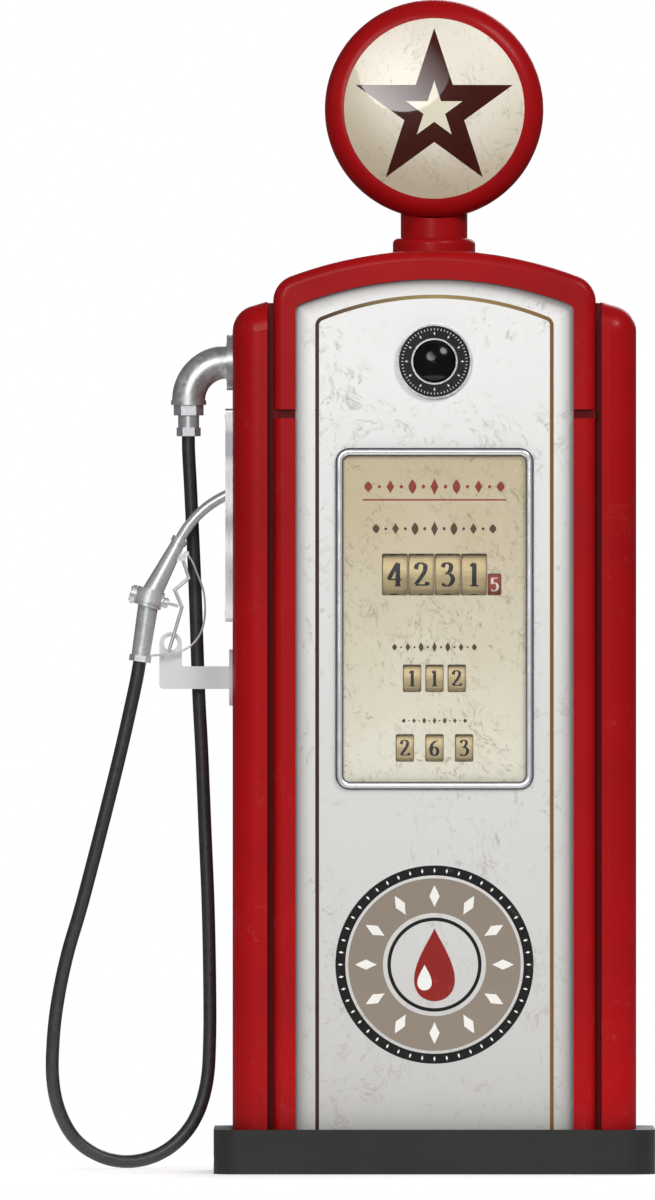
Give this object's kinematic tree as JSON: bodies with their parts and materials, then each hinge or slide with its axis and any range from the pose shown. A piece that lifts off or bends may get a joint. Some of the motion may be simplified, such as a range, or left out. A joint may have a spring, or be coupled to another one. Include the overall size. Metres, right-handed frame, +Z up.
{
  "type": "gas pump",
  "caption": "Upright vintage computing gas pump: red sheet-steel cabinet with white panel, drum counter window, sight glass, lit globe on top, side hose with lever nozzle and switch lever.",
  "frame": {"origin": "on the floor, at the middle of the base and of its anchor bolt pattern", "axes": "+Z up, front faces -Y, +X to the right as seen from the front; the hose hangs on the -X side"},
  "size_m": [1.1574, 0.532, 2.2309],
  "materials": {
    "cast_base": "satin black paint",
    "frame_steel": "grey primer",
    "red_paint": "gloss red enamel",
    "white_enamel": "worn white enamel",
    "plated_steel": "brushed",
    "chrome_trim": "polished",
    "clear_glass": "polished",
    "dial_print": "aged cream print",
    "black_enamel": "gloss black",
    "dark_glass": "polished dark",
    "cast_grey": "grey machine paint",
    "motor_paint": "dark grey",
    "belt_rubber": "matt",
    "pipe_steel": "galvanised",
    "cast_elbow": "galvanised",
    "nozzle_aluminium": "cast and buffed",
    "hose_rubber": "matt black",
    "lever_steel": "light grey",
    "lens_glass": "opal glass, printed",
    "socket_plastic": "black",
    "bulb_glass": "frosted",
    "drum_brass": "satin",
    "drum_red": "satin red"
  },
  "bodies": {
    "cabinet": {"base_plinth": "cast_base", "frame_posts": "frame_steel", "frame_rails": "frame_steel", "equipment_shelves": "frame_steel", "left_side_panel": "red_paint", "right_side_panel": "red_paint", "core_walls": "red_paint", "hood": "red_paint", "front_panel": "white_enamel", "rear_upper_panel": "white_enamel", "door_hinges": "plated_steel", "dial_bezel": "chrome_trim", "dial_glass": "clear_glass", "dial_plate": "dial_print", "sight_flange": "black_enamel", "sight_rings": "chrome_trim", "sight_lens": "dark_glass", "sight_body": "cast_grey", "register_frame": "plated_steel", "counter_shafts": "plated_steel", "gear_case": "cast_grey", "meter": "cast_grey", "pump_unit": "cast_grey", "motor": "motor_paint", "drive_belt": "belt_rubber", "pipework": "pipe_steel", "outlet_flange": "plated_steel", "outlet_elbow": "cast_elbow", "hose_coupling": "nozzle_aluminium", "hose": "hose_rubber", "nozzle_boot": "plated_steel", "switch_box": "motor_paint", "globe_neck": "red_paint", "globe_body": "red_paint", "front_lens": "lens_glass", "rear_lens": "lens_glass", "lamp_socket": "socket_plastic", "lamp_bulb": "bulb_glass"},
    "rear_door": {"rear_door": "white_enamel"},
    "door_latch": {"door_latch": "plated_steel"},
    "nozzle": {"nozzle_body": "nozzle_aluminium", "nozzle_spout": "nozzle_aluminium", "trigger_guard": "plated_steel"},
    "trigger": {"nozzle_trigger": "nozzle_aluminium"},
    "valve_stem": {"valve_stem": "plated_steel"},
    "switch_lever": {"switch_lever": "lever_steel"},
    "register_drive_shaft": {"register_drive_shaft": "plated_steel"},
    "motor_pulley": {"motor_pulley": "cast_grey"},
    "pump_pulley": {"pump_pulley": "cast_grey"},
    "sale_wheel_1": {"sale_wheel_1": "drum_brass"},
    "sale_wheel_2": {"sale_wheel_2": "drum_brass"},
    "sale_wheel_3": {"sale_wheel_3": "drum_brass"},
    "sale_wheel_4": {"sale_wheel_4": "drum_brass"},
    "sale_wheel_tenths": {"sale_wheel_tenths": "drum_red"},
    "volume_wheel_1": {"volume_wheel_1": "drum_brass"},
    "volume_wheel_2": {"volume_wheel_2": "drum_brass"},
    "volume_wheel_3": {"volume_wheel_3": "drum_brass"},
    "price_wheel_1": {"price_wheel_1": "drum_brass"},
    "price_wheel_2": {"price_wheel_2": "drum_brass"},
    "price_wheel_3": {"price_wheel_3": "drum_brass"}
  },
  "joints": [
    {"name": "rear_door_hinge", "type": "hinge", "parent": "cabinet", "child": "rear_door", "pos_m": [0.27, 0.236, 0.76], "axis": [0, 0, -1], "range_deg": [0, 110]},
    {"name": "door_latch_turn", "type": "hinge", "parent": "rear_door", "child": "door_latch", "pos_m": [-0.2345, 0.222, 0.75925], "axis": [0, -1, 0], "range_deg": [0, 90]},
    {"name": "nozzle_lift", "type": "slide", "parent": "cabinet", "child": "nozzle", "axis": [-1, 0, 0], "range_m": [0, 0.06], "deforming": ["hose"]},
    {"name": "trigger_squeeze", "type": "hinge", "parent": "nozzle", "child": "trigger", "pos_m": [-0.4788, -0.12, 1.169], "axis": [0, 1, 0], "range_deg": [0, 7], "stiffness_Nm_per_rad": 1},
    {"name": "valve_stem_push", "type": "slide", "parent": "nozzle", "child": "valve_stem", "axis": [-0.9613, 0, 0.2756], "range_m": [0, 0.0135]},
    {"name": "switch_lever_turn", "type": "hinge", "parent": "cabinet", "child": "switch_lever", "pos_m": [-0.383, -0.1, 0.941], "axis": [-1, 0, 0], "range_deg": [0, 75]},
    {"name": "motor_spin", "type": "hinge", "parent": "cabinet", "child": "motor_pulley", "pos_m": [0.13, 0.152, 0.19], "axis": [0, 1, 0], "continuous": true},
    {"name": "pump_spin", "type": "hinge", "parent": "cabinet", "child": "pump_pulley", "pos_m": [-0.13, 0.152, 0.23], "axis": [0, 1, 0], "continuous": true},
    {"name": "drive_shaft_spin", "type": "hinge", "parent": "cabinet", "child": "register_drive_shaft", "pos_m": [0, -0.06, 0.66], "axis": [0, 0, 1], "continuous": true},
    {"name": "sale_wheel_1_spin", "type": "hinge", "parent": "cabinet", "child": "sale_wheel_1", "pos_m": [0, -0.116, 1.137], "axis": [1, 0, 0], "continuous": true},
    {"name": "sale_wheel_2_spin", "type": "hinge", "parent": "cabinet", "child": "sale_wheel_2", "pos_m": [0, -0.116, 1.137], "axis": [1, 0, 0], "continuous": true},
    {"name": "sale_wheel_3_spin", "type": "hinge", "parent": "cabinet", "child": "sale_wheel_3", "pos_m": [0, -0.116, 1.137], "axis": [1, 0, 0], "continuous": true},
    {"name": "sale_wheel_4_spin", "type": "hinge", "parent": "cabinet", "child": "sale_wheel_4", "pos_m": [0, -0.116, 1.137], "axis": [1, 0, 0], "continuous": true},
    {"name": "sale_wheel_tenths_spin", "type": "hinge", "parent": "cabinet", "child": "sale_wheel_tenths", "pos_m": [0, -0.116, 1.137], "axis": [1, 0, 0], "continuous": true},
    {"name": "volume_wheel_1_spin", "type": "hinge", "parent": "cabinet", "child": "volume_wheel_1", "pos_m": [0, -0.148, 0.94], "axis": [1, 0, 0], "continuous": true},
    {"name": "volume_wheel_2_spin", "type": "hinge", "parent": "cabinet", "child": "volume_wheel_2", "pos_m": [0, -0.148, 0.94], "axis": [1, 0, 0], "continuous": true},
    {"name": "volume_wheel_3_spin", "type": "hinge", "parent": "cabinet", "child": "volume_wheel_3", "pos_m": [0, -0.148, 0.94], "axis": [1, 0, 0], "continuous": true},
    {"name": "price_wheel_1_spin", "type": "hinge", "parent": "cabinet", "child": "price_wheel_1", "pos_m": [0, -0.148, 0.808], "axis": [1, 0, 0], "continuous": true},
    {"name": "price_wheel_2_spin", "type": "hinge", "parent": "cabinet", "child": "price_wheel_2", "pos_m": [0, -0.148, 0.808], "axis": [1, 0, 0], "continuous": true},
    {"name": "price_wheel_3_spin", "type": "hinge", "parent": "cabinet", "child": "price_wheel_3", "pos_m": [0, -0.148, 0.808], "axis": [1, 0, 0], "continuous": true}
  ],
  "couplings": [
    {"joint": "valve_stem_push", "follows": "trigger_squeeze", "m_per_rad": 0.105},
    {"joint": "pump_spin", "follows": "motor_spin", "ratio": 0.5},
    {"joint": "sale_wheel_4_spin", "follows": "sale_wheel_tenths_spin", "ratio": 0.1},
    {"joint": "sale_wheel_3_spin", "follows": "sale_wheel_tenths_spin", "ratio": 0.01},
    {"joint": "sale_wheel_2_spin", "follows": "sale_wheel_tenths_spin", "ratio": 0.001},
    {"joint": "sale_wheel_1_spin", "follows": "sale_wheel_tenths_spin", "ratio": 0.0001},
    {"joint": "volume_wheel_3_spin", "follows": "sale_wheel_tenths_spin", "ratio": 0.038023},
    {"joint": "volume_wheel_2_spin", "follows": "sale_wheel_tenths_spin", "ratio": 0.0038023},
    {"joint": "volume_wheel_1_spin", "follows": "sale_wheel_tenths_spin", "ratio": 0.00038023},
    {"joint": "drive_shaft_spin", "follows": "sale_wheel_tenths_spin", "ratio": 0.15209}
  ]
}
